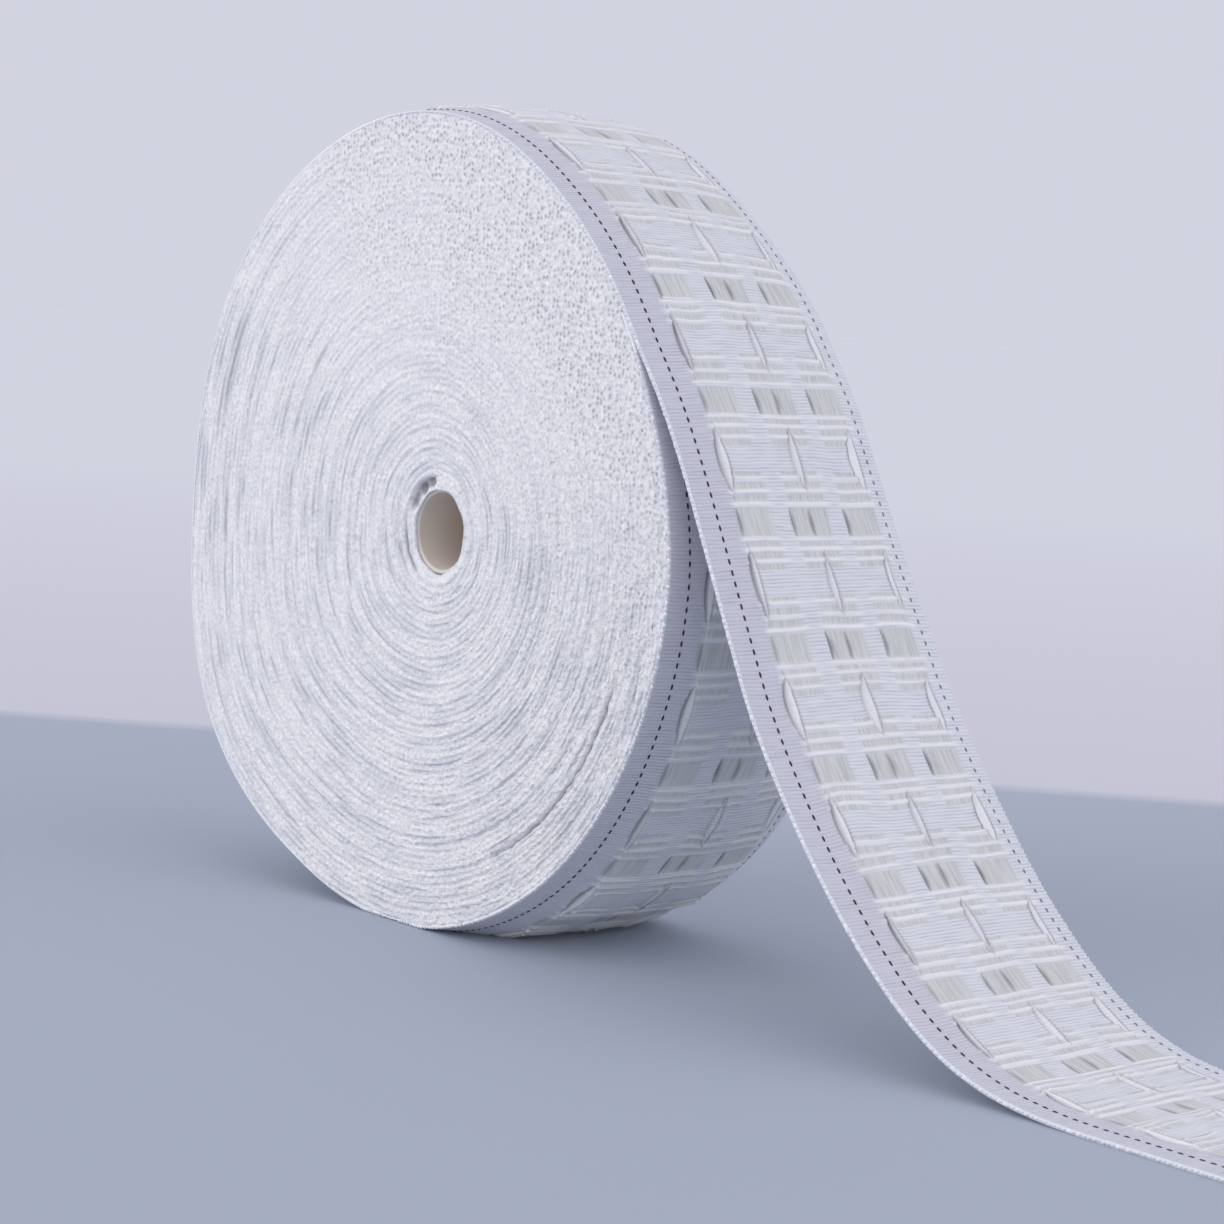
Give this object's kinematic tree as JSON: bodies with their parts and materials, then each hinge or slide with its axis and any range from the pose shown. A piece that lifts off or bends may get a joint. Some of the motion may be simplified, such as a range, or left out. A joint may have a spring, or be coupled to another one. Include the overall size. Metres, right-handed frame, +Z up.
{
  "type": "roll of woven curtain heading tape",
  "caption": "Roll of wide white woven curtain heading tape with hook pockets, standing on its edge, its loose end falling in a soft curve and lying out flat.",
  "frame": {"origin": "middle of the small flat spot under the roll, on the surface that it stands on", "axes": "+X towards the loose end that lies out flat, Y along the core's axis with the front face at -Y, +Z up"},
  "size_m": [0.4744, 0.0756, 0.2453],
  "materials": {
    "tape": "matte woven polyester",
    "core paper": "plain matte paperboard"
  },
  "bodies": {
    "root": {"roll": "tape", "loose_end": "tape", "core": "core paper"}
  },
  "joints": []
}
